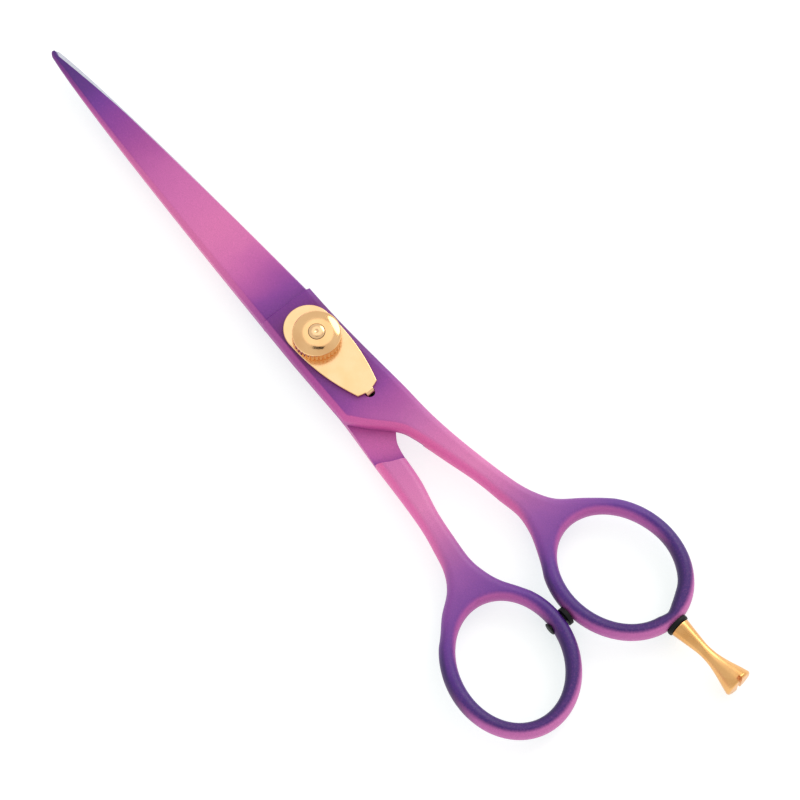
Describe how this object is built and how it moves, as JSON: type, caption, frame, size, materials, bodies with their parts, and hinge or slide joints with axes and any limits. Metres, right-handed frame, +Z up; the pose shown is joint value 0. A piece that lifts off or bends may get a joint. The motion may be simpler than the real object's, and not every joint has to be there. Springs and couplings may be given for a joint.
{
  "type": "hairdressing scissors",
  "caption": "Slim straight-bladed hairdressing scissors with a tension knob on a leaf plate, oval rings, a screw-in finger rest and a rubber bumper.",
  "frame": {"origin": "on the pivot axis, at the flat underside of the pivot screw's head", "axes": "+X along the closed blades towards the tips, +Z up the pivot axis towards the tension knob, +Y towards the thumb ring"},
  "size_m": [0.1787, 0.0517, 0.011],
  "materials": {
    "sprayed_steel": "satin pearl spray, violet on top fading to pink on the sides",
    "gold_plate": "polished gold-coloured plating",
    "black_rubber": "smooth black rubber",
    "nylon": "natural white nylon"
  },
  "bodies": {
    "upper": {"upper_half": "sprayed_steel", "pivot_screw": "gold_plate", "head_washer": "nylon", "tension_plate": "gold_plate"},
    "lower": {"lower_half": "sprayed_steel", "pivot_bushing": "nylon", "blade_washer": "nylon", "bumper": "black_rubber"},
    "knob": {"tension_knob": "gold_plate"},
    "rest": {"finger_rest": "gold_plate", "finger_rest_washer": "black_rubber"}
  },
  "joints": [
    {"name": "opening", "type": "hinge", "parent": "upper", "child": "lower", "pos_m": [0, 0, 0.0038], "axis": [0, 0, -1], "range_deg": [0, 70]},
    {"name": "knob_turn", "type": "hinge", "parent": "upper", "child": "knob", "pos_m": [0, 0, 0.0085], "axis": [0, 0, 1], "range_deg": [-180, 180]},
    {"name": "rest_turn", "type": "hinge", "parent": "upper", "child": "rest", "pos_m": [-0.08328, -0.01487, 0.0038], "axis": [-0.9976, -0.0698, 0], "range_deg": [-180, 180]}
  ]
}
